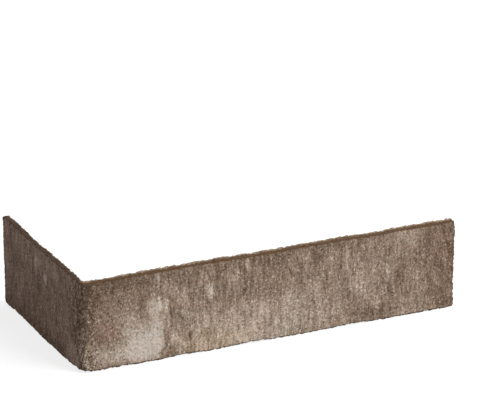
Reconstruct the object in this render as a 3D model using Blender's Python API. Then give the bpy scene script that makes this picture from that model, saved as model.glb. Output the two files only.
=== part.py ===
"""Corner stone cladding strip, a thin sand-faced slip folded once to wrap the outer corner of a wall.

Units are metres and +Z is up. The strip stands on its lower long edge. Its long leg runs along +X with
the front face towards -Y, and its short leg runs along +Y with the front face towards -X.
The origin is on the floor, under the middle of the box round the strip.
"""

from math import cos, pi, sin

import bmesh
import bpy
from mathutils import Matrix, Vector, noise

# Driving dimensions, leg lengths measured over the front faces
LONG_LEG = 0.240
SHORT_LEG = 0.120
HEIGHT = 0.056
THICKNESS = 0.004
INNER_BEND_RADIUS = 0.0015
FRONT_ARRIS_RADIUS = 0.0010

# How far each corner of the two ends is worn round, seen from the front
SHORT_END_LOW_RADIUS = 0.0030
SHORT_END_HIGH_RADIUS = 0.0016
LONG_END_LOW_RADIUS = 0.0016
LONG_END_HIGH_RADIUS = 0.0032

# Long shallow hollows that wander along the moulded edges
HOLLOW_DEPTH = 0.0008
HOLLOW_SPACING = 0.031
HOLLOW_FULLNESS = 2.0
HOLLOW_PATTERN = Vector((30.15, -22.23, 26.29))

# Fineness of the rounded and wavy stretches
EDGE_STEP = 0.003
BEND_SEGMENTS = 10
ARRIS_SEGMENTS = 3
CORNER_SEGMENTS = 4
WELD_DISTANCE = 0.00001

# Which way the two faces of the flat slip look along its own z
FRONT = 1
BACK = -1

# Weathered taupe of the cast face
STONE_COLOR = (0.270, 0.210, 0.165, 1.0)
STONE_ROUGHNESS = 0.93

# Places along the flat slip, measured on its front from the short leg's end
OUTER_BEND_RADIUS = INNER_BEND_RADIUS + THICKNESS
BEND_START = SHORT_LEG - OUTER_BEND_RADIUS
BEND_END = BEND_START + OUTER_BEND_RADIUS * pi / 2
FLAT_LENGTH = BEND_END + LONG_LEG - OUTER_BEND_RADIUS


def clear_scene():
    """Remove every object that the file opened with."""
    for obj in list(bpy.data.objects):
        bpy.data.objects.remove(obj, do_unlink=True)


def stone_material():
    """Matt cast stone."""
    material = bpy.data.materials.new("cast_stone")
    material.use_nodes = True
    shader = material.node_tree.nodes["Principled BSDF"]
    shader.inputs["Base Color"].default_value = STONE_COLOR
    shader.inputs["Roughness"].default_value = STONE_ROUGHNESS
    shader.inputs["Metallic"].default_value = 0.0
    material.diffuse_color = STONE_COLOR
    return material


def spaced(start, end, step):
    """Even stations from start up to, but not including, end."""
    count = max(1, round(abs(end - start) / step))
    return [start + (end - start) * k / count for k in range(count)]


def bend_stations():
    """Where the flat slip is creased so that it can follow the bend."""
    crease = (BEND_END - BEND_START) / BEND_SEGMENTS
    return [BEND_START + crease * k for k in range(BEND_SEGMENTS + 1)]


def long_edge_stations(first_radius, last_radius):
    """Stations along a long edge, between the rounded corners of the short and of the long leg's end."""
    last_station = FLAT_LENGTH - last_radius
    first = spaced(first_radius, BEND_START, EDGE_STEP)
    last = spaced(BEND_END, last_station, EDGE_STEP)
    return first + bend_stations()[:-1] + last + [last_station]


def end_levels(low_radius, high_radius):
    """Heights up an end, between its rounded corners."""
    top = HEIGHT - high_radius
    return spaced(low_radius, top, EDGE_STEP) + [top]


def end_corner(corner, radius, start_angle):
    """Points inside a quarter turn that rounds a square corner, with their outward normals."""
    first = Vector((cos(start_angle), sin(start_angle)))
    last = Vector((-first.y, first.x))
    center = corner - (first + last) * radius
    points = []
    for k in range(1, CORNER_SEGMENTS):
        turn = pi / 2 * k / CORNER_SEGMENTS
        normal = first * cos(turn) + last * sin(turn)
        points.append((center + normal * radius, normal))
    return points


def square_outline():
    """The flat slip's outline before wear, anticlockwise, as points with their outward normals."""
    lower = long_edge_stations(SHORT_END_LOW_RADIUS, LONG_END_LOW_RADIUS)
    upper = long_edge_stations(SHORT_END_HIGH_RADIUS, LONG_END_HIGH_RADIUS)
    long_end = end_levels(LONG_END_LOW_RADIUS, LONG_END_HIGH_RADIUS)
    short_end = end_levels(SHORT_END_LOW_RADIUS, SHORT_END_HIGH_RADIUS)
    down, right = Vector((0, -1)), Vector((1, 0))
    outline = [(Vector((s, 0)), down) for s in lower]
    outline += end_corner(Vector((FLAT_LENGTH, 0)), LONG_END_LOW_RADIUS, -pi / 2)
    outline += [(Vector((FLAT_LENGTH, z)), right) for z in long_end]
    outline += end_corner(Vector((FLAT_LENGTH, HEIGHT)), LONG_END_HIGH_RADIUS, 0)
    outline += [(Vector((s, HEIGHT)), -down) for s in reversed(upper)]
    outline += end_corner(Vector((0, HEIGHT)), SHORT_END_HIGH_RADIUS, pi / 2)
    outline += [(Vector((0, z)), -right) for z in reversed(short_end)]
    outline += end_corner(Vector((0, 0)), SHORT_END_LOW_RADIUS, pi)
    return outline


def hollow(point):
    """How far the edge is worn back at a point: nothing on the high spots, a shallow dip between."""
    place = Vector((point.x, point.y, 0)) / HOLLOW_SPACING + HOLLOW_PATTERN
    return HOLLOW_DEPTH * min(1.0, HOLLOW_FULLNESS * max(0.0, noise.noise(place)))


def worn_outline():
    """The flat slip's outline with its edges pulled back into their hollows."""
    return [point - normal * hollow(point) for point, normal in square_outline()]


def flat_slip():
    """The slip as cast, flat: x along it, y up its face, z towards its front."""
    curve = bpy.data.curves.new("flat_slip", "CURVE")
    curve.dimensions = "2D"
    curve.fill_mode = "BOTH"
    curve.extrude = THICKNESS / 2
    points = worn_outline()
    spline = curve.splines.new("POLY")
    spline.points.add(len(points) - 1)
    for spline_point, place in zip(spline.points, points):
        spline_point.co = (place.x, place.y, 0, 1)
    spline.use_cyclic_u = True
    holder = bpy.data.objects.new("flat_slip", curve)
    bpy.context.scene.collection.objects.link(holder)
    evaluated = holder.evaluated_get(bpy.context.evaluated_depsgraph_get())
    mesh = bpy.data.meshes.new_from_object(evaluated)
    bpy.data.objects.remove(holder, do_unlink=True)
    return mesh


def lies_on(face, side):
    """Whether a face of the flat slip is part of its front or of its back."""
    inside = THICKNESS / 2 - WELD_DISTANCE
    return all(vert.co.z * side > inside for vert in face.verts)


def merge_caps(slip):
    """Turn the triangles of the front and of the back into one face each, free to be cut and eased."""
    for side in (FRONT, BACK):
        cap = [face for face in slip.faces if lies_on(face, side)]
        bmesh.ops.dissolve_faces(slip, faces=cap)


def crease(slip):
    """Cut the flat slip across at each station of the bend."""
    for station in bend_stations():
        everything = slip.verts[:] + slip.edges[:] + slip.faces[:]
        bmesh.ops.bisect_plane(
            slip, geom=everything, dist=WELD_DISTANCE, plane_co=(station, 0, 0), plane_no=(1, 0, 0)
        )


def ease_front_arris(slip):
    """Round the edge all round the front face; the back stays sharp for the adhesive bed."""
    arris = []
    for edge in slip.edges:
        if sum(lies_on(face, FRONT) for face in edge.link_faces) == 1:
            arris.append(edge)
    bmesh.ops.bevel(
        slip, geom=arris, offset=FRONT_ARRIS_RADIUS, segments=ARRIS_SEGMENTS, profile=0.5, affect="EDGES"
    )


def folded(station, depth, height):
    """Where a point of the flat slip lies once it is folded round the corner."""
    if station < BEND_START:
        return Vector((depth, SHORT_LEG - station, height))
    if station > BEND_END:
        return Vector((OUTER_BEND_RADIUS + station - BEND_END, depth, height))
    turn = (station - BEND_START) / OUTER_BEND_RADIUS
    radius = OUTER_BEND_RADIUS - depth
    return Vector((OUTER_BEND_RADIUS - radius * cos(turn), OUTER_BEND_RADIUS - radius * sin(turn), height))


def corner_strip(collection):
    """The whole strip: one slip, creased, eased and folded."""
    mesh = flat_slip()
    slip = bmesh.new()
    slip.from_mesh(mesh)
    bmesh.ops.remove_doubles(slip, verts=slip.verts[:], dist=WELD_DISTANCE)
    merge_caps(slip)
    crease(slip)
    ease_front_arris(slip)
    for vert in slip.verts:
        vert.co = folded(vert.co.x, THICKNESS / 2 - vert.co.z, vert.co.y)
    bmesh.ops.recalc_face_normals(slip, faces=slip.faces[:])
    slip.to_mesh(mesh)
    slip.free()
    mesh.name = "corner_strip"
    mesh.materials.append(stone_material())
    strip = bpy.data.objects.new("corner_strip", mesh)
    strip.matrix_world = Matrix.Translation((-LONG_LEG / 2, -SHORT_LEG / 2, 0))
    collection.objects.link(strip)
    return strip


def build():
    """Model the strip in a collection of its own."""
    clear_scene()
    collection = bpy.data.collections.new("corner_cladding_strip")
    bpy.context.scene.collection.children.link(collection)
    strip = corner_strip(collection)
    strip.data.shade_smooth()
    strip.data.set_sharp_from_angle(angle=pi / 6)


build()
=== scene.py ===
"""Looks of the corner stone cladding strip: sand-faced cast stone, folded once round the corner of a wall.

Units are metres and +Z is up, and only the finish is laid out in millimetres. The strip is first made flat,
as it is cast. A point of the flat slip has a station along it from the short leg's end, a height above its
lower edge, a depth behind its front and a turn, the angle between the way its surface looks and the front's.
Then the slip is folded round the corner, into the place of the solid that it dresses.
"""

from math import cos, pi, radians, sin

import bpy
import numpy as np
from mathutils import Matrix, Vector, noise


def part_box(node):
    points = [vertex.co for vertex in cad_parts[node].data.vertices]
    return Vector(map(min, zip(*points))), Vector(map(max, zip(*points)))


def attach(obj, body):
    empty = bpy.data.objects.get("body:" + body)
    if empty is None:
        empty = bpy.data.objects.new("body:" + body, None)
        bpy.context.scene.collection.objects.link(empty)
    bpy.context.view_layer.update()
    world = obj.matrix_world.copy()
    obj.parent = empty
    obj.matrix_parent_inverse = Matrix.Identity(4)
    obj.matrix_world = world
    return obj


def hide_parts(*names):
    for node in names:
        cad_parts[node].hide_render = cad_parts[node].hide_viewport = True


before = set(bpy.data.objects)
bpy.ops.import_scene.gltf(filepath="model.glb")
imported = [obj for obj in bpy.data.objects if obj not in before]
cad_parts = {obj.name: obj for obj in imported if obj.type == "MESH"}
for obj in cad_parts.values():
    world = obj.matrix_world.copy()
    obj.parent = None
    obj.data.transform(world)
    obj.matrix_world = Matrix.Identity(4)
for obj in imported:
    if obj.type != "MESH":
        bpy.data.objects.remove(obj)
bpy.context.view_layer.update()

# Sizes of the solid, the same on the cast surface
strip_low, strip_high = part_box("corner_strip")
LONG_LEG = strip_high.x - strip_low.x
SHORT_LEG = strip_high.y - strip_low.y
HEIGHT = strip_high.z - strip_low.z
THICKNESS = 0.004
OUTER_BEND_RADIUS = 0.0055
FRONT_ARRIS_RADIUS = 0.0010
SHORT_END_LOW_RADIUS = 0.0030
SHORT_END_HIGH_RADIUS = 0.0016
LONG_END_LOW_RADIUS = 0.0016
LONG_END_HIGH_RADIUS = 0.0032
BEND_START = SHORT_LEG - OUTER_BEND_RADIUS
BEND_END = BEND_START + OUTER_BEND_RADIUS * pi / 2
FLAT_LENGTH = BEND_END + LONG_LEG - OUTER_BEND_RADIUS

# Long shallow hollows that wander along the moulded edges, as the solid has them
HOLLOW_DEPTH = 0.0008
HOLLOW_SPACING = 0.031
HOLLOW_FULLNESS = 2.0
HOLLOW_PATTERN = Vector((30.15, -22.23, 26.29))

# Fineness of the surface
GRID_STEP = 0.0005
EDGE_BAND = 0.0022
EDGE_BAND_STEPS = 6
SIDE_ROWS = 6
BACK_STEP = 4
BACK_BEND_STEP = 2
BEND_MARGIN = 0.001
BACK_ARRIS_ANGLE = radians(60)
TINY = 1e-9

# Relief of the sand face: how deep each kind of unevenness is and how far apart its features lie
FACE_LEVEL = 0.00026
LUMP_DEPTH, LUMP_SPACING = 0.00020, 0.0085
DENT_DEPTH, DENT_SPACING = 0.00012, 0.0026
SAND_DEPTH, SAND_SPACING, SAND_MIDDLE = 0.00042, 0.00115, 0.5
DRAG_DEPTH, DRAG_SPACING, DRAG_LENGTH = 0.00010, 0.0015, 0.007
PIT_DEPTH, PIT_SPACING, PIT_RARITY = 0.0009, 0.0016, 0.40
PIT_PATTERN = Vector((7.3, 2.1, 5.8))

# How much of that relief the moulded edges and the back have
SIDE_RELIEF = 0.7
BACK_RELIEF = 0.6

# Raggedness of the moulded edges, the single grains that stand out of them, and how far in wear reaches
RAG_LEVEL = 0.00036
RAG_DEPTH, RAG_SPACING = 0.00053, 0.0017
NICK_DEPTH, NICK_SPACING = 0.00060, 0.0046
GRAIN_HEIGHT, GRAIN_SPACING, GRAIN_RARITY, GRAIN_FULLNESS = 0.00070, 0.0010, 0.22, 3.0
GRAIN_PATTERN = Vector((6.6, 12.4, 3.5))
RAG_BAND = 0.0023
WEAR_BAND = 0.0080

# The foot of the folded corner is worn up: how deep, and over how long a stretch to both sides
FOOT_WEAR_DEPTH = 0.0008
FOOT_WEAR_MIDDLE = BEND_START
FOOT_WEAR_REACH = 0.013

# The camera, aimed from in front of the corner
CAMERA_AZIMUTH = radians(-25.06)
CAMERA_ELEVATION = radians(20.44)
CAMERA_DISTANCE = 1.986
CAMERA_AIM = Vector((0.0209, 0.0149, 0.0583))
CAMERA_LENS = 240.0

# The floor: its grey to the light that it throws back, and to the camera its shaded grey and added glow
FLOOR_SIZE = 12.0
FLOOR_BOUNCE = 0.35
FLOOR_SHADED = 0.27
FLOOR_GLOW = 0.79

# Colour of the floor's glow and of the sky
WHITE = (1, 1, 1, 1)

# The sky and the lamps: how bright a white surface looks in each one's light, and where the lamps stand
SKY_LIGHT = 0.32
KEY_LIGHT = 1.12
KEY_AZIMUTH = radians(35)
KEY_ELEVATION = radians(45)
BACK_LIGHT = 0.36
BACK_AZIMUTH = radians(142)
BACK_ELEVATION = radians(28)
LAMP_DISTANCE = 1.6
LAMP_SIZE = 0.9

# The finish is laid out in millimetres
MILLIMETRES = 1000
STRIP_TOP = MILLIMETRES * HEIGHT
STRIP_END = MILLIMETRES * LONG_LEG
BEND_REACH = MILLIMETRES * OUTER_BEND_RADIUS
SIDE_WIDTH = MILLIMETRES * (THICKNESS - FRONT_ARRIS_RADIUS)

# Colours of the face from its darkest to its palest tone, of the core and of the back
FACE_COLORS = (
    (0.00, (0.080, 0.049, 0.031)),
    (0.25, (0.166, 0.111, 0.076)),
    (0.50, (0.276, 0.199, 0.145)),
    (0.75, (0.405, 0.318, 0.254)),
    (1.00, (0.590, 0.513, 0.447)),
)
CORE_COLORS = ((0.1, (0.058, 0.030, 0.0145)), (0.9, (0.142, 0.082, 0.044)))
# The short leg's core: the same brown, darkened as painted shade
SHORT_CORE_PAINTED_SHADE_COLORS = ((0.1, (0.027, 0.0135, 0.007)), (0.9, (0.082, 0.046, 0.026)))
BACK_COLORS = ((0.0, (0.130, 0.085, 0.052)), (1.0, (0.390, 0.295, 0.205)))
HUE_TINTS = ((0.3, (0.95, 0.99, 1.00)), (0.7, (1.03, 0.99, 0.96)))
WARM_TINT = (1.06, 1.00, 0.91, 1)
RED_TINT = (1.06, 0.99, 1.00, 1)
SHORT_LEG_TINT = (1.065, 1.013, 1.045, 1)

# Tone of the face, and of all else that is mottled, where the mottling is neither dark nor pale
FACE_TONE = 0.44
MIDDLE_TONE = 0.5

# Layers of mottling: spacing of their features along, up and through, strength and detail
MOTTLES = (
    ((26, 30, 26), 0.30, 3.0),
    ((9, 14, 9), 0.43, 2.0),
    ((0.9, 1.2, 0.9), 0.38, 1.0),
)
DRAGS = (
    ((2.7, 20, 2.7), 0.57, 2.0),
    ((1.3, 7.5, 1.3), 0.63, 1.5),
)
HUES = (
    ((9, 14, 9), 0.8, 2.0),
    ((2.2, 3.5, 2.2), 0.8, 2.0),
)
CORE_MOTTLES = (((1.0, 1.0, 1.0), 0.9, 2.0),)
BACK_MOTTLES = (
    ((40, 22, 40), 0.60, 3.0),
    ((7, 7, 7), 0.55, 2.0),
    ((1.0, 1.0, 1.0), 0.80, 2.0),
)
BORDER_RAGS = (((2.0, 2.0, 2.0), 1.3, 2.0),)
GRITS = (((0.55, 0.55, 0.55), 1.0, 3.0),)
SHEENS = (((2, 2, 2), 0.12, 1.0),)

# How strong the face's mottling is on the short leg, against 1 on the long one
SHORT_LEG_MOTTLE = 1.05

# How places wander, which gives uneven borders: spacing of the waves, and their reach from side to side
DRIFT = ((14, 14, 14), 12)
FINE_DRIFT = ((4, 6, 4), 4)
SHAKE = ((3, 6, 3), 3)
LEAN = ((10, 16, 10), 4)
WANDER_DETAIL = 3.0

# Sand grains: size, contrast, and how much the brightest and darkest stand out
GRAINS = (0.75, 0.40, 0.18)
COARSE_GRAINS = (0.95, 0.30, 0.34)
BEND_GRAINS = (1.5, 0.26, 0.36)
BACK_GRAINS = (0.8, 0.40, 0.22)

# Between which shades a grain comes to stand out as bright, and as dark
BRIGHT_GRAINS = (0.76, 0.86)
DARK_GRAINS = (0.24, 0.14)

# Stretches of the finish along or up the strip: from where it is untouched to where the stretch is full
LONG_LEG_FROM = (-6, 4)
LONG_LEG_UNTIL = (STRIP_END - 1, STRIP_END - 5)
TOP_FROM = (STRIP_TOP - 11, STRIP_TOP - 6)
FOOT_UNTIL = (6, 3)
COARSE_FROM = (-17, -7)
COARSE_UNTIL = (20, 3)
BEND_FROM = (-15, -7)
BEND_UNTIL = (6, -1)

# Where a spot of the finish begins to fade and where it is gone, as shares of its half width and height
SPOT_CORE = 0.15
SPOT_RIM = 1.0

# Spots of the finish: place along and up the strip, half width, half height, and how much paler it is there
PATCHES = (
    # The pale plume near the corner
    (43, 13, 16, 17, 0.42),
    (34, 12, 20, 15, 0.26),
    (24, 7, 22, 11, 0.33),
    (49, 28, 12, 20, 0.26),
    (31, 23, 14, 12, 0.13),
    (45, 33, 8, 14, 0.19),
    (30, 30, 12, 14, 0.10),
    # Paler stretches of the long leg past the plume
    (70, 29, 14, 18, 0.11),
    (100, 6, 80, 28, 0.30),
    (145, 20, 55, 24, 0.10),
    (186, 34, 20, 26, 0.12),
    (196, 0, 60, 7, 0.13),
    (208, 50, 16, 14, 0.12),
    (235, 26, 12, 18, 0.12),
    # The long leg's darker top and end, and two dark places at its foot
    (36, 54, 40, 10, -0.13),
    (120, 52, 60, 12, -0.11),
    (130, 57, 110, 9, -0.08),
    (240, 40, 34, 70, -0.24),
    (186, 2, 14, 11, -0.16),
    (30, 0, 40, 5, -0.08),
    # The folded corner: dark above, partly painted shade where the bend turns away from the light and partly
    # a darker colour, and pale at its foot
    (9, 50, 18, 20, -0.25),
    (3, 38, 9, 30, -0.20),
    (-7, 36, 10, 38, -0.16),
    (8, 8, 14, 14, 0.14),
    (-9, 6, 16, 16, 0.24),
    # The short leg, paler at its top and darker at its foot
    (-60, 52, 90, 16, 0.10),
    (-60, 1, 90, 15, -0.20),
)
STREAKS = (
    # The plume's pale upper tail
    (48.5, 50, 1.9, 8, 0.34),
    (49.2, 35, 1.8, 9, 0.30),
    # The brown run beside the plume, which leans away from the corner as it rises, and a pale lobe past it
    (50.4, 3, 2.4, 8, -0.24),
    (53.0, 15, 2.4, 9, -0.27),
    (56, 29, 2.2, 13, -0.24),
    (58.5, 11, 4.5, 12, 0.16),
    # A fine dark run low on the face, the pale blob and two fine pale streaks past it
    (68, 12, 1.4, 5, -0.34),
    (80.5, 37, 3.2, 8, 0.50),
    (98, 46, 1.6, 9, 0.34),
    (104, 49, 1.3, 7, 0.30),
    # Pale streaks on the long leg's far half
    (168, 42, 2.4, 12, 0.22),
    (195, 30, 2.0, 11, 0.28),
    (226, 22, 1.4, 9, 0.25),
    # The short leg's pale speck, and a pale streak past it
    (-52, 40, 4, 6, 0.50),
    (-66, 44, 3, 15, 0.30),
)

# The same for how much stronger the drag marks, the coarse grains or a tint are there
DRAG_PATCHES = (
    (18, 28, 46, 80, -0.45),
    (82, 28, 55, 90, 0.22),
)
COARSE_PATCHES = ((3, 9, 13, 18, 0.6),)
WARM_PATCHES = ((84, 6, 40, 16, 0.9),)
RED_PATCHES = (
    (16, 24, 13, 12, 0.9),
    (236, 28, 18, 60, 0.6),
)

# How far inside the moulded edges the skin of the face begins, and how softly it gives way to the core
SKIN_MARGIN = 0.1
SKIN_MARGIN_TOP = 1.6
# On the short leg's top the core's dark brown reaches over the arris as painted shade
SHORT_TOP_PAINTED_SHADE_MARGIN = 0.45
# At the foot the core's dark brown shows partly as worn skin and partly as painted shade along the floor
FOOT_WEAR_AND_SHADE_MARGIN = 1.1
SKIN_BORDER = (-0.5, 0.4)

# How wide a rim of the back's sand shows along the moulded edges, and how softly it sets in
RIM_WIDTH = 0.4
RIM_WIDTH_TOP = 1.9
RIM_BORDER = (-0.2, 0.2)

# Painted shade in the pits: from which depth to which a pit is darkened, in metres as the relief is, and how
# much
PIT_PAINTED_SHADE_RANGE = (0.00034, 0.00070)
PIT_PAINTED_SHADE = 0.20

# How rough and how shiny the surface is, and how high its finest grit stands, in metres
ROUGHNESS = 0.9
SPECULAR = 0.25
GRIT_HEIGHT = 0.00025


def eased_stations(length):
    """Stations from 0 to length: close together over the edge bands and evenly spaced between them."""
    turn = np.linspace(0, pi / 2, EDGE_BAND_STEPS + 1)
    near = EDGE_BAND * (1 - np.cos(turn))
    count = round((length - 2 * EDGE_BAND) / GRID_STEP)
    middle = np.linspace(EDGE_BAND, length - EDGE_BAND, count + 1)
    return np.concatenate([near[:-1], middle, length - near[-2::-1]])


def inset(from_end, radius):
    """How far a rounded corner draws the edge in, at a distance from the end."""
    short = np.maximum(radius - from_end, 0)
    return radius - np.sqrt(radius**2 - short**2)


def face_grid():
    """Stations and heights of the face's grid, drawn in at both ends to the rounded corners."""
    station, level = np.meshgrid(eased_stations(FLAT_LENGTH), eased_stations(HEIGHT), indexing="ij")
    from_long_end = FLAT_LENGTH - station
    low = inset(station, SHORT_END_LOW_RADIUS) + inset(from_long_end, LONG_END_LOW_RADIUS)
    high = inset(station, SHORT_END_HIGH_RADIUS) + inset(from_long_end, LONG_END_HIGH_RADIUS)
    return station, low + level * (1 - (low + high) / HEIGHT)


def from_outline(station, height):
    """How far inside the face's outline points lie, and the way further inwards."""
    short_end = np.where(height < HEIGHT / 2, SHORT_END_LOW_RADIUS, SHORT_END_HIGH_RADIUS)
    long_end = np.where(height < HEIGHT / 2, LONG_END_LOW_RADIUS, LONG_END_HIGH_RADIUS)
    radius = np.where(station < FLAT_LENGTH / 2, short_end, long_end)
    aside = station - FLAT_LENGTH / 2
    above = height - HEIGHT / 2
    past_end = np.abs(aside) - (FLAT_LENGTH / 2 - radius)
    past_edge = np.abs(above) - (HEIGHT / 2 - radius)
    in_corner = (past_end > 0) & (past_edge > 0)
    out_end = np.where(in_corner, past_end, past_end >= past_edge)
    out_edge = np.where(in_corner, past_edge, past_end < past_edge)
    length = np.maximum(np.hypot(out_end, out_edge), TINY)
    reach = np.where(in_corner, length, np.maximum(past_end, past_edge))
    return radius - reach, -np.sign(aside) * out_end / length, -np.sign(above) * out_edge / length


def hollow(point):
    """How far the edge is worn back at a point: nothing on the high spots, a shallow dip between."""
    place = Vector((point.x, point.y, 0)) / HOLLOW_SPACING + HOLLOW_PATTERN
    return HOLLOW_DEPTH * min(1.0, HOLLOW_FULLNESS * max(0.0, noise.noise(place)))


def rag(place):
    """How far the moulded edge falls short of its highest grains."""
    rough = RAG_DEPTH * noise.noise(place / RAG_SPACING) + NICK_DEPTH * noise.noise(place / NICK_SPACING)
    grain = max(0.0, noise.noise(place / GRAIN_SPACING + GRAIN_PATTERN) - GRAIN_RARITY)
    return max(0.0, RAG_LEVEL + rough - GRAIN_HEIGHT * min(1.0, GRAIN_FULLNESS * grain))


def sunk(place):
    """How far the sand face lies below its highest grains."""
    lump = noise.noise(place / LUMP_SPACING)
    dent = noise.noise(place / DENT_SPACING)
    sand = noise.voronoi(place / SAND_SPACING)[0][0] - SAND_MIDDLE
    drag = noise.noise(Vector((place.x / DRAG_SPACING, place.y / DRAG_LENGTH, place.z / DRAG_SPACING)))
    pit = max(0.0, noise.noise(place / PIT_SPACING + PIT_PATTERN) - PIT_RARITY)
    level = LUMP_DEPTH * lump + DENT_DEPTH * dent + SAND_DEPTH * sand + DRAG_DEPTH * drag
    return max(0.0, FACE_LEVEL + level + PIT_DEPTH * pit)


def folded(station, depth, height):
    """Where points of the flat slip lie once it is folded round the corner, in the strip's own frame."""
    turn = np.clip((station - BEND_START) / OUTER_BEND_RADIUS, 0, pi / 2)
    radius = OUTER_BEND_RADIUS - depth
    x = OUTER_BEND_RADIUS - radius * np.cos(turn) + np.maximum(station - BEND_END, 0)
    y = OUTER_BEND_RADIUS - radius * np.sin(turn) + np.maximum(BEND_START - station, 0)
    return np.stack([x - LONG_LEG / 2, y - SHORT_LEG / 2, height], axis=-1)


class Slip:
    """The flat slip's closed surface: points as rows of station, height, depth and turn, and faces."""

    def __init__(self):
        self.station, self.height = face_grid()
        self.columns, self.rows = self.station.shape
        self.batches = []
        self.faces = []
        self.count = 0

    def add(self, station, height, depth, turn):
        """Add a batch of points, and give back their numbers."""
        rows = np.stack(np.broadcast_arrays(station, height, depth, turn), axis=-1)
        numbers = self.count + np.arange(rows[..., 0].size).reshape(rows.shape[:-1])
        self.batches.append(rows.reshape(-1, rows.shape[-1]))
        self.count += numbers.size
        return numbers

    def add_faces(self, corners):
        """Add four-sided faces, given as four arrays of point numbers."""
        self.faces += np.stack(corners, axis=-1).reshape(-1, len(corners)).tolist()

    def front(self):
        """The sand face with its rounded arris."""
        inside, _, _ = from_outline(self.station, self.height)
        lean = np.clip(1 - inside / FRONT_ARRIS_RADIUS, 0, 1)
        depth = FRONT_ARRIS_RADIUS * (1 - np.sqrt(1 - lean**2))
        grid = self.add(self.station, self.height, depth, np.arcsin(lean))
        self.add_faces([grid[:-1, :-1], grid[1:, :-1], grid[1:, 1:], grid[:-1, 1:]])
        return border(grid)

    def sides(self, ring):
        """The moulded edges, in rows from the arris to the back."""
        station, height = border(self.station), border(self.height)
        for depth in np.linspace(FRONT_ARRIS_RADIUS, THICKNESS, SIDE_ROWS + 1)[1:]:
            lower = self.add(station, height, depth, pi / 2)
            self.add_faces([ring, lower, np.roll(lower, -1), np.roll(ring, -1)])
            ring = lower
        return ring

    def back(self, ring):
        """The plain back, in coarse cells that meet every point of the sides' last row."""
        along = self.station[:, 0]
        in_bend = (along > BEND_START - BEND_MARGIN) & (along < BEND_END + BEND_MARGIN)
        columns = coarse(self.columns, np.flatnonzero(in_bend)[::BACK_BEND_STEP])
        rows = coarse(self.rows)
        numbers = np.full((self.columns, self.rows), -1)
        places = border(np.arange(numbers.size).reshape(numbers.shape))
        numbers.flat[places] = ring
        inner = np.ix_(columns[1:-1], rows[1:-1])
        numbers[inner] = self.add(self.station[inner], self.height[inner], THICKNESS, pi)
        for left, right in zip(columns, columns[1:]):
            for bottom, top in zip(rows, rows[1:]):
                self.faces.append(round_cell(numbers, left, right, bottom, top))


def border(grid):
    """The outermost entries of a grid, anticlockwise as seen from the front."""
    return np.concatenate([grid[:-1, 0], grid[-1, :-1], grid[:0:-1, -1], grid[0, :0:-1]])


def coarse(count, must=()):
    """The first and last of a number of grid places, and every few of those clear of the edge bands."""
    clear = range(EDGE_BAND_STEPS, count - EDGE_BAND_STEPS, BACK_STEP)
    return sorted({0, count - 1, *clear, *[int(place) for place in must]})


def round_cell(numbers, left, right, bottom, top):
    """Points round one coarse cell of the back, with every point of the border that it touches."""
    columns, rows = numbers.shape
    up_left = range(bottom, top) if left == 0 else [bottom]
    along_top = range(left, right) if top == rows - 1 else [left]
    down_right = range(top, bottom, -1) if right == columns - 1 else [top]
    along_bottom = range(right, left, -1) if bottom == 0 else [right]
    ring = [numbers[left, j] for j in up_left] + [numbers[i, top] for i in along_top]
    ring += [numbers[right, j] for j in down_right] + [numbers[i, bottom] for i in along_bottom]
    return [int(number) for number in ring]


def edge_wear(points, inside, in_along, in_up):
    """How far each point is drawn in by the hollows and the raggedness of the edge nearest to it."""
    wear = np.zeros(len(points))
    for k in np.flatnonzero(inside < WEAR_BAND):
        station, height, depth, _ = points[k]
        edge = Vector((station - in_along[k] * inside[k], height - in_up[k] * inside[k], depth))
        wear[k] = hollow(edge) * (1 - inside[k] / WEAR_BAND)
        if inside[k] < RAG_BAND:
            wear[k] += rag(edge) * (1 - inside[k] / RAG_BAND)
    return wear


def foot_wear(station, inside, in_up):
    """How far points near the foot of the folded corner are worn up."""
    near_corner = np.clip(1 - ((station - FOOT_WEAR_MIDDLE) / FOOT_WEAR_REACH) ** 2, 0, 1) ** 2
    near_foot = (in_up > 0) * np.clip(1 - inside / WEAR_BAND, 0, 1)
    return FOOT_WEAR_DEPTH * near_corner * near_foot


def worn(points):
    """Folded places of the slip's points once they are worn and grained, with two measures for the finish.

    The first measure is how deep a point is sunk. The second runs over the surface from the middle of the
    face, through 0 where the arris meets the side, to the middle of the back, where it is lowest.
    """
    station, height, depth, turn = points.T
    inside, in_along, in_up = from_outline(station, height)
    relief = np.array([sunk(Vector(place)) for place in points[:, :3]])
    wear = edge_wear(points, inside, in_along, in_up) + foot_wear(station, inside, in_up)
    on_back = turn > pi / 2 + TINY
    strength = np.where(on_back, BACK_RELIEF, 1 - (1 - SIDE_RELIEF) * np.sin(turn))
    moved = wear + relief * strength * np.sin(turn)
    places = folded(
        station + in_along * moved,
        depth + relief * strength * np.cos(turn),
        height + in_up * moved,
    )
    unrolled = np.where(on_back, -inside, inside) - np.maximum(depth - FRONT_ARRIS_RADIUS, 0)
    return places, relief, unrolled


def cast_strip():
    """The strip's whole surface as one closed mesh."""
    slip = Slip()
    slip.back(slip.sides(slip.front()))
    places, relief, unrolled = worn(np.concatenate(slip.batches))
    mesh = bpy.data.meshes.new("corner_strip_cast")
    mesh.from_pydata(places.tolist(), [], slip.faces)
    for name, values in (("cavity", relief), ("unrolled", unrolled * MILLIMETRES)):
        mesh.attributes.new(name, "FLOAT", "POINT").data.foreach_set("value", values)
    mesh.shade_smooth()
    mesh.set_sharp_from_angle(angle=BACK_ARRIS_ANGLE)
    mesh.materials.append(cast_stone())
    strip = bpy.data.objects.new("corner_strip_cast", mesh)
    bpy.context.scene.collection.objects.link(strip)
    return strip


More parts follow.
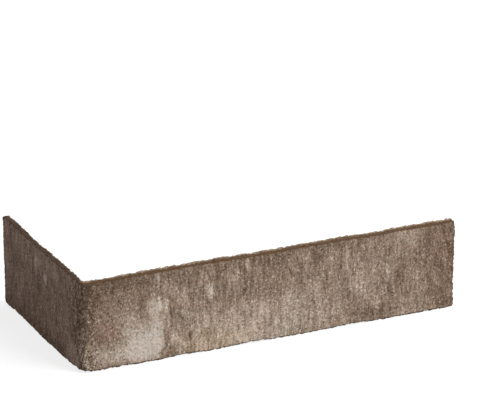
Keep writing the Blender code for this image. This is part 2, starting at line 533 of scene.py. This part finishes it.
class Graph:
    """The nodes of a material or of the world: each call adds some, and most give back the socket to use."""

    def __init__(self, owner):
        owner.use_nodes = True
        self.tree = owner.node_tree
        self.tree.nodes.clear()

    def node(self, kind, settings, values):
        """One node, with its settings, and its inputs set to plain values or linked to sockets."""
        made = self.tree.nodes.new(kind)
        for name, value in settings.items():
            setattr(made, name, value)
        for name, value in values.items():
            if isinstance(value, bpy.types.NodeSocket):
                self.tree.links.new(value, made.inputs[name])
            else:
                made.inputs[name].default_value = value
        return made

    def math(self, operation, first, second):
        """One step of arithmetic on numbers."""
        return self.node("ShaderNodeMath", {"operation": operation}, {0: first, 1: second}).outputs[0]

    def vector(self, operation, first, second=(0, 0, 0)):
        """One step of arithmetic on places."""
        made = self.node("ShaderNodeVectorMath", {"operation": operation}, {0: first, 1: second})
        return made.outputs["Value" if operation == "LENGTH" else "Vector"]

    def combine(self, x, y, z):
        """A place from its three measures."""
        return self.node("ShaderNodeCombineXYZ", {}, {0: x, 1: y, 2: z}).outputs[0]

    def attribute(self, name):
        """A measure that the mesh holds for each of its points."""
        return self.node("ShaderNodeAttribute", {"attribute_name": name}, {}).outputs["Fac"]

    def total(self, terms):
        """The sum of several sockets or numbers."""
        value = terms[0]
        for term in terms[1:]:
            value = self.math("ADD", value, term)
        return value

    def between(self, factor, start, end):
        """A number that goes from the start to the end as the factor goes from 0 to 1."""
        return self.math("ADD", self.math("MULTIPLY", factor, end - start), start)

    def ease(self, value, start, end):
        """From 0 at the start to 1 at the end, smoothly, and flat beyond them."""
        values = {"Value": value, "From Min": start, "From Max": end}
        return self.node("ShaderNodeMapRange", {"interpolation_type": "SMOOTHSTEP"}, values).outputs[0]

    def stretch(self, value, rise, fall):
        """1 over a stretch of the value and 0 beyond it, easing over the rise and over the fall."""
        return self.math("MULTIPLY", self.ease(value, *rise), self.ease(value, *fall))

    def texture(self, place, spacing, detail):
        """Coherent noise whose features lie about as far apart as the spacing in each direction."""
        scaled = self.vector("DIVIDE", place, spacing)
        return self.node("ShaderNodeTexNoise", {}, {"Vector": scaled, "Scale": 1.0, "Detail": detail})

    def noise(self, place, spacing, amount, detail):
        """Coherent noise about 0, up to about half the amount either way."""
        centred = self.math("SUBTRACT", self.texture(place, spacing, detail).outputs[0], 0.5)
        return self.math("MULTIPLY", centred, amount)

    def mottling(self, place, layers):
        """Layers of coherent noise about 0, added up."""
        return self.total([self.noise(place, *layer) for layer in layers])

    def wander(self, place, spacing, distance):
        """A place moved about by coherent noise."""
        texture = self.texture(place, spacing, WANDER_DETAIL)
        shift = self.vector("SUBTRACT", texture.outputs[1], (0.5, 0.5, 0.5))
        return self.vector("ADD", place, self.vector("MULTIPLY", shift, (distance, distance, distance)))

    def grains(self, place, size, contrast, glint):
        """Sand grains about 0, each of one shade, with a few bright and a few dark ones that stand out."""
        scaled = self.vector("DIVIDE", place, (size, size, size))
        shade = self.node("ShaderNodeTexVoronoi", {}, {"Vector": scaled, "Scale": 1.0}).outputs["Color"]
        plain = self.math("MULTIPLY", self.math("SUBTRACT", shade, 0.5), contrast)
        bright = self.math("MULTIPLY", self.ease(shade, *BRIGHT_GRAINS), glint)
        dark = self.math("MULTIPLY", self.ease(shade, *DARK_GRAINS), -glint)
        return self.total([plain, bright, dark])

    def spot(self, place, along, up, half_width, half_height, amount):
        """A soft spot of the finish: its amount over its core, fading to nothing at its rim."""
        offset = self.vector("SUBTRACT", place, (along, up, 0))
        shape = (1 / half_width, 1 / half_height, 0)
        reach = self.vector("LENGTH", self.vector("MULTIPLY", offset, shape))
        return self.math("MULTIPLY", self.ease(reach, SPOT_RIM, SPOT_CORE), amount)

    def spots(self, place, patches):
        """Soft spots of the finish, added up."""
        return self.total([self.spot(place, *patch) for patch in patches])

    def ramp(self, value, stops):
        """A colour read from stops of (position, colour)."""
        made = self.node("ShaderNodeValToRGB", {}, {0: value})
        elements = made.color_ramp.elements
        while len(elements) < len(stops):
            elements.new(0.5)
        for element, (position, color) in zip(elements, stops):
            element.position = position
            element.color = (*color, 1)
        return made.outputs[0]

    def mix(self, factor, first, second, way="MIX"):
        """One colour mixed into another."""
        settings = {"data_type": "RGBA", "blend_type": way}
        return self.node("ShaderNodeMix", settings, {0: factor, 6: first, 7: second}).outputs[2]

    def tint(self, factor, color, by):
        """A colour multiplied by another, as far as the factor says."""
        return self.mix(factor, color, by, "MULTIPLY")

    def finish(self, shader, output="ShaderNodeOutputMaterial"):
        """Send a shader to the output of the material or of the world."""
        self.node(output, {}, {0: shader.outputs[0]})


class StripPlace:
    """Where a point lies in the folded strip, in millimetres, and near which of its edges.

    The place runs along the strip from the corner, with the short leg below 0, up it and into its depth.
    """

    def __init__(self, graph):
        coordinates = graph.node("ShaderNodeTexCoord", {}, {}).outputs["Object"]
        from_corner = graph.vector("ADD", coordinates, (LONG_LEG / 2, SHORT_LEG / 2, 0))
        scaled = graph.vector("MULTIPLY", from_corner, (MILLIMETRES, MILLIMETRES, MILLIMETRES))
        x, y, self.up = graph.node("ShaderNodeSeparateXYZ", {}, {0: scaled}).outputs
        short_x = graph.math("MAXIMUM", graph.math("SUBTRACT", BEND_REACH, x), 0.0)
        short_y = graph.math("MAXIMUM", graph.math("SUBTRACT", BEND_REACH, y), 0.0)
        reach = graph.vector("LENGTH", graph.combine(short_x, short_y, 0.0))
        self.along = graph.math("SUBTRACT", x, y)
        self.place = graph.combine(self.along, self.up, graph.math("SUBTRACT", BEND_REACH, reach))
        self.drifting = graph.wander(self.place, *DRIFT)
        self.on_long_leg = graph.ease(self.along, *LONG_LEG_FROM)
        self.near_top = graph.ease(self.up, *TOP_FROM)
        self.near_foot = graph.ease(self.up, *FOOT_UNTIL)
        over_long_leg = graph.stretch(self.along, LONG_LEG_FROM, LONG_LEG_UNTIL)
        self.near_long_top = graph.math("MULTIPLY", self.near_top, over_long_leg)


def face_mottling(graph, at):
    """Mottling of the sand face about 0, with upright drag marks."""
    leaning = graph.wander(at.place, *LEAN)
    strength = graph.math("ADD", graph.spots(at.place, DRAG_PATCHES), 1.0)
    drag = graph.math("MULTIPLY", graph.mottling(leaning, DRAGS), strength)
    mottling = graph.math("ADD", drag, graph.mottling(leaning, MOTTLES))
    return graph.math("MULTIPLY", mottling, graph.between(at.on_long_leg, SHORT_LEG_MOTTLE, 1.0))


def face_grains(graph, at):
    """Sand grains of the face about 0, with coarse ones near the corner and the coarsest on the bend."""
    coarse_zone = graph.stretch(at.along, COARSE_FROM, COARSE_UNTIL)
    coarse_zone = graph.math("ADD", coarse_zone, graph.spots(at.place, COARSE_PATCHES))
    bend_zone = graph.stretch(at.along, BEND_FROM, BEND_UNTIL)
    return graph.total([
        graph.grains(at.place, *GRAINS),
        graph.math("MULTIPLY", coarse_zone, graph.grains(at.place, *COARSE_GRAINS)),
        graph.math("MULTIPLY", bend_zone, graph.grains(at.place, *BEND_GRAINS)),
    ])


def face_tone(graph, at):
    """How pale the sand face is, from 0 to 1."""
    return graph.total([
        FACE_TONE,
        face_mottling(graph, at),
        graph.spots(graph.wander(at.drifting, *FINE_DRIFT), PATCHES),
        graph.spots(graph.wander(at.place, *SHAKE), STREAKS),
        face_grains(graph, at),
        # Painted shade in the pits, darker the deeper they are sunk
        graph.math("MULTIPLY", graph.ease(graph.attribute("cavity"), *PIT_PAINTED_SHADE_RANGE), -PIT_PAINTED_SHADE),
    ])


def face_color(graph, at):
    """Mottled taupe of the sand face."""
    hue = graph.math("ADD", graph.mottling(at.place, HUES), MIDDLE_TONE)
    color = graph.ramp(face_tone(graph, at), FACE_COLORS)
    color = graph.tint(1.0, color, graph.ramp(hue, HUE_TINTS))
    color = graph.tint(graph.spots(at.drifting, WARM_PATCHES), color, WARM_TINT)
    color = graph.tint(graph.spots(at.drifting, RED_PATCHES), color, RED_TINT)
    return graph.tint(graph.math("SUBTRACT", 1.0, at.on_long_leg), color, SHORT_LEG_TINT)


def core_color(graph, at):
    """Brown of the core that the moulded edges lay bare, darker on the short leg as painted shade."""
    tone = graph.math("ADD", graph.mottling(at.place, CORE_MOTTLES), MIDDLE_TONE)
    return graph.mix(at.on_long_leg, graph.ramp(tone, SHORT_CORE_PAINTED_SHADE_COLORS), graph.ramp(tone, CORE_COLORS))


def back_color(graph, at):
    """Sandy brown of the back."""
    mottling = graph.mottling(at.place, BACK_MOTTLES)
    tone = graph.total([MIDDLE_TONE, mottling, graph.grains(at.place, *BACK_GRAINS)])
    return graph.ramp(tone, BACK_COLORS)


def strip_color(graph, at):
    """The face's colour, giving way to the core's on the moulded edges and to the back's behind them."""
    unrolled = graph.math("ADD", graph.attribute("unrolled"), graph.mottling(at.place, BORDER_RAGS))
    margin = graph.total([
        SKIN_MARGIN,
        # Painted shade: the core's dark brown over the short leg's top arris
        graph.math("MULTIPLY", at.near_top, SHORT_TOP_PAINTED_SHADE_MARGIN - SKIN_MARGIN),
        graph.math("MULTIPLY", at.near_long_top, SKIN_MARGIN_TOP - SHORT_TOP_PAINTED_SHADE_MARGIN),
        # At the foot: partly worn skin, partly painted shade along the floor
        graph.math("MULTIPLY", at.near_foot, FOOT_WEAR_AND_SHADE_MARGIN - SKIN_MARGIN),
    ])
    rim = graph.between(at.near_long_top, RIM_WIDTH - SIDE_WIDTH, RIM_WIDTH_TOP - SIDE_WIDTH)
    off_face = graph.ease(graph.math("SUBTRACT", margin, unrolled), *SKIN_BORDER)
    on_back = graph.ease(graph.math("SUBTRACT", rim, unrolled), *RIM_BORDER)
    color = graph.mix(off_face, face_color(graph, at), core_color(graph, at))
    return graph.mix(on_back, color, back_color(graph, at))


def cast_stone():
    """Sand face in mottled taupe, brown core on the moulded edges and a sandy back."""
    material = bpy.data.materials.new("cast_stone_face")
    graph = Graph(material)
    at = StripPlace(graph)
    grit = graph.mottling(at.place, GRITS)
    bump = graph.node("ShaderNodeBump", {}, {"Height": grit, "Strength": 1.0, "Distance": GRIT_HEIGHT})
    graph.finish(graph.node("ShaderNodeBsdfPrincipled", {}, {
        "Base Color": strip_color(graph, at),
        "Roughness": graph.math("ADD", graph.mottling(at.place, SHEENS), ROUGHNESS),
        "Specular IOR Level": SPECULAR,
        "Normal": bump.outputs[0],
    }))
    return material


def seen_directly(graph):
    """1 where the camera sees a point itself, in a reflection or through glass, and 0 for other light."""
    path = graph.node("ShaderNodeLightPath", {}, {}).outputs
    seen = graph.math("MAXIMUM", path["Is Camera Ray"], path["Is Glossy Ray"])
    return graph.math("MAXIMUM", seen, path["Is Transmission Ray"])


def matt(graph, level):
    """A matt grey, as bright as the level says."""
    return graph.node("ShaderNodeBsdfDiffuse", {}, {0: (level, level, level, 1)}).outputs[0]


def pale_floor():
    """White to the camera with a soft shadow, and a plain grey to the light that it throws back."""
    material = bpy.data.materials.new("pale_floor")
    graph = Graph(material)
    glow = graph.node("ShaderNodeEmission", {}, {0: WHITE, 1: FLOOR_GLOW}).outputs[0]
    white = graph.node("ShaderNodeAddShader", {}, {0: matt(graph, FLOOR_SHADED), 1: glow}).outputs[0]
    shaders = {0: seen_directly(graph), 1: matt(graph, FLOOR_BOUNCE), 2: white}
    graph.finish(graph.node("ShaderNodeMixShader", {}, shaders))
    return material


def floor():
    """A level floor that the strip stands on."""
    bpy.ops.mesh.primitive_plane_add(size=FLOOR_SIZE)
    plane = bpy.context.object
    plane.name = "studio_floor"
    plane.data.materials.append(pale_floor())


def sky():
    """Even light from all round, white where the camera sees it itself or in a reflection."""
    world = bpy.data.worlds.new("studio_sky")
    bpy.context.scene.world = world
    graph = Graph(world)
    values = {"Value": seen_directly(graph), "To Min": SKY_LIGHT}
    strength = graph.node("ShaderNodeMapRange", {}, values).outputs[0]
    background = graph.node("ShaderNodeBackground", {}, {"Color": WHITE, "Strength": strength})
    graph.finish(background, "ShaderNodeOutputWorld")


def looking(data, target, azimuth, elevation, distance):
    """A lamp or camera that looks at a target from a distance; azimuth 0 looks along +Y."""
    made = bpy.data.objects.new(data.name, data)
    bpy.context.scene.collection.objects.link(made)
    level = cos(elevation)
    way = Vector((sin(azimuth) * level, -cos(azimuth) * level, sin(elevation)))
    made.location = target + way * distance
    made.rotation_euler = way.to_track_quat("Z", "Y").to_euler()
    return made


def softbox(name, azimuth, elevation, lit):
    """A square lamp aimed at the strip; lit is how bright a white surface that faces it looks."""
    data = bpy.data.lights.new(name, "AREA")
    data.shape = "SQUARE"
    data.size = LAMP_SIZE
    data.energy = lit * (pi * LAMP_DISTANCE) ** 2
    looking(data, Vector(), azimuth, elevation, LAMP_DISTANCE)


def camera():
    """A long lens that looks a little down on the strip, in front of its corner."""
    data = bpy.data.cameras.new("camera")
    data.lens = CAMERA_LENS
    bpy.context.scene.camera = looking(data, CAMERA_AIM, CAMERA_AZIMUTH, CAMERA_ELEVATION, CAMERA_DISTANCE)


strip = cast_strip()
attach(strip, "root")
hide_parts("corner_strip")
floor()
sky()
softbox("key_light", KEY_AZIMUTH, KEY_ELEVATION, KEY_LIGHT)
softbox("back_light", BACK_AZIMUTH, BACK_ELEVATION, BACK_LIGHT)
camera()
bpy.context.scene.view_settings.view_transform = "Standard"
